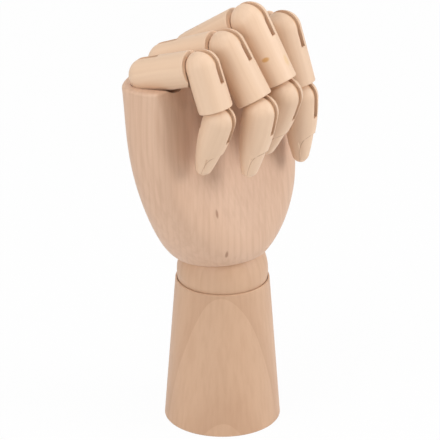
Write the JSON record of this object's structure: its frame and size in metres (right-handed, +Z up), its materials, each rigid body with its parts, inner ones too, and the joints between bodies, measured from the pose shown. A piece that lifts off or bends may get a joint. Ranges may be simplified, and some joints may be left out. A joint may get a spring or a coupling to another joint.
{
  "type": "hand mannequin",
  "caption": "Jointed wooden hand mannequin on a turned conical stand, fingers closed in a loose fist; slotted hinges let the fingers and thumb be posed for drawing.",
  "frame": {"origin": "middle of the underside of the stand, on the plane it stands on", "axes": "+Z up along the axis of the stand, the palm looks towards -Y, the thumb is on the +X side"},
  "size_m": [0.1056, 0.0626, 0.1841],
  "materials": {
    "finger_wood": "smooth sanded, unvarnished",
    "palm_wood": "smooth sanded, unvarnished",
    "stand_wood": "smooth turned, unvarnished",
    "tongue_wood": "sawn",
    "steel": "plain wire"
  },
  "bodies": {
    "stand": {"stand": "stand_wood", "stand_cross_pin": "steel"},
    "wrist_spring": {"wrist_spring": "steel"},
    "wrist_ball": {"wrist_ball": "stand_wood"},
    "palm": {"palm": "palm_wood", "palm_screw_eye": "steel", "pinky_proximal_tongue": "tongue_wood", "ring_proximal_tongue": "tongue_wood", "middle_proximal_tongue": "tongue_wood", "index_proximal_tongue": "tongue_wood", "thumb_base_tongue": "tongue_wood"},
    "pinky_proximal": {"pinky_proximal": "finger_wood", "pinky_proximal_pin": "steel", "pinky_middle_tongue": "tongue_wood"},
    "pinky_middle": {"pinky_middle": "finger_wood", "pinky_middle_pin": "steel", "pinky_distal_tongue": "tongue_wood"},
    "pinky_distal": {"pinky_distal": "finger_wood", "pinky_distal_pin": "steel"},
    "ring_proximal": {"ring_proximal": "finger_wood", "ring_proximal_pin": "steel", "ring_middle_tongue": "tongue_wood"},
    "ring_middle": {"ring_middle": "finger_wood", "ring_middle_pin": "steel", "ring_distal_tongue": "tongue_wood"},
    "ring_distal": {"ring_distal": "finger_wood", "ring_distal_pin": "steel"},
    "middle_proximal": {"middle_proximal": "finger_wood", "middle_proximal_pin": "steel", "middle_middle_tongue": "tongue_wood"},
    "middle_middle": {"middle_middle": "finger_wood", "middle_middle_pin": "steel", "middle_distal_tongue": "tongue_wood"},
    "middle_distal": {"middle_distal": "finger_wood", "middle_distal_pin": "steel"},
    "index_proximal": {"index_proximal": "finger_wood", "index_proximal_pin": "steel", "index_middle_tongue": "tongue_wood"},
    "index_middle": {"index_middle": "finger_wood", "index_middle_pin": "steel", "index_distal_tongue": "tongue_wood"},
    "index_distal": {"index_distal": "finger_wood", "index_distal_pin": "steel"},
    "thumb_base": {"thumb_base": "finger_wood", "thumb_base_pin": "steel", "thumb_proximal_tongue": "tongue_wood"},
    "thumb_proximal": {"thumb_proximal": "finger_wood", "thumb_proximal_pin": "steel", "thumb_distal_tongue": "tongue_wood"},
    "thumb_distal": {"thumb_distal": "finger_wood", "thumb_distal_pin": "steel"}
  },
  "joints": [
    {"name": "wrist_swivel", "type": "hinge", "parent": "stand", "child": "wrist_spring", "pos_m": [0, 0, 0.0657], "axis": [0, 0, 1], "range_deg": [-90, 90], "deforming": ["wrist_spring"]},
    {"name": "wrist_bend", "type": "hinge", "parent": "wrist_spring", "child": "wrist_ball", "pos_m": [0, 0, 0.0657], "axis": [1, 0, 0], "range_deg": [-15, 25], "deforming": ["wrist_spring"]},
    {"name": "wrist_sway", "type": "hinge", "parent": "wrist_ball", "child": "palm", "pos_m": [0, 0, 0.0657], "axis": [0, 1, 0], "range_deg": [-20, 20], "deforming": ["wrist_spring"]},
    {"name": "pinky_proximal_hinge", "type": "hinge", "parent": "palm", "child": "pinky_proximal", "pos_m": [-0.032, 0.0165, 0.16022], "axis": [1, 0, 0], "range_deg": [-90.9, 2]},
    {"name": "pinky_middle_hinge", "type": "hinge", "parent": "pinky_proximal", "child": "pinky_middle", "pos_m": [-0.032, -0.00949, 0.16922], "axis": [1, 0, 0], "range_deg": [-90.1, 1]},
    {"name": "pinky_distal_hinge", "type": "hinge", "parent": "pinky_middle", "child": "pinky_distal", "pos_m": [-0.032, -0.01697, 0.14747], "axis": [1, 0, 0], "range_deg": [-37, 3]},
    {"name": "ring_proximal_hinge", "type": "hinge", "parent": "palm", "child": "ring_proximal", "pos_m": [-0.014, 0.01765, 0.15962], "axis": [1, 0, 0], "range_deg": [-87.4, 3]},
    {"name": "ring_middle_hinge", "type": "hinge", "parent": "ring_proximal", "child": "ring_middle", "pos_m": [-0.014, -0.01032, 0.17126], "axis": [1, 0, 0], "range_deg": [-80.6, 2]},
    {"name": "ring_distal_hinge", "type": "hinge", "parent": "ring_middle", "child": "ring_distal", "pos_m": [-0.014, -0.02569, 0.14667], "axis": [1, 0, 0], "range_deg": [-43, 5]},
    {"name": "middle_proximal_hinge", "type": "hinge", "parent": "palm", "child": "middle_proximal", "pos_m": [0.004, 0.01592, 0.15816], "axis": [1, 0, 0], "range_deg": [-75.4, 1]},
    {"name": "middle_middle_hinge", "type": "hinge", "parent": "middle_proximal", "child": "middle_middle", "pos_m": [0.004, -0.01042, 0.17633], "axis": [1, 0, 0], "range_deg": [-95.6, 1]},
    {"name": "middle_distal_hinge", "type": "hinge", "parent": "middle_middle", "child": "middle_distal", "pos_m": [0.004, -0.02642, 0.14747], "axis": [1, 0, 0], "range_deg": [-47, 2]},
    {"name": "index_proximal_hinge", "type": "hinge", "parent": "palm", "child": "index_proximal", "pos_m": [0.022, 0.01528, 0.15772], "axis": [1, 0, 0], "range_deg": [-92.1, 1]},
    {"name": "index_middle_hinge", "type": "hinge", "parent": "index_proximal", "child": "index_middle", "pos_m": [0.022, -0.01555, 0.16768], "axis": [1, 0, 0], "range_deg": [-91, 1]},
    {"name": "index_distal_hinge", "type": "hinge", "parent": "index_middle", "child": "index_distal", "pos_m": [0.022, -0.02404, 0.13974], "axis": [1, 0, 0], "range_deg": [-16.4, 1]},
    {"name": "thumb_base_hinge", "type": "hinge", "parent": "palm", "child": "thumb_base", "pos_m": [0.038, 0.0056, 0.08378], "axis": [0, -0.9962, 0.0872], "range_deg": [-55, 4]},
    {"name": "thumb_proximal_hinge", "type": "hinge", "parent": "thumb_base", "child": "thumb_proximal", "pos_m": [0.04531, 0.00768, 0.1076], "axis": [0.9563, -0.0255, -0.2913], "range_deg": [-6, 45]},
    {"name": "thumb_distal_hinge", "type": "hinge", "parent": "thumb_proximal", "child": "thumb_distal", "pos_m": [0.052, 0.00719, 0.1296], "axis": [0.9563, -0.0255, -0.2913], "range_deg": [-8, 50]}
  ]
}
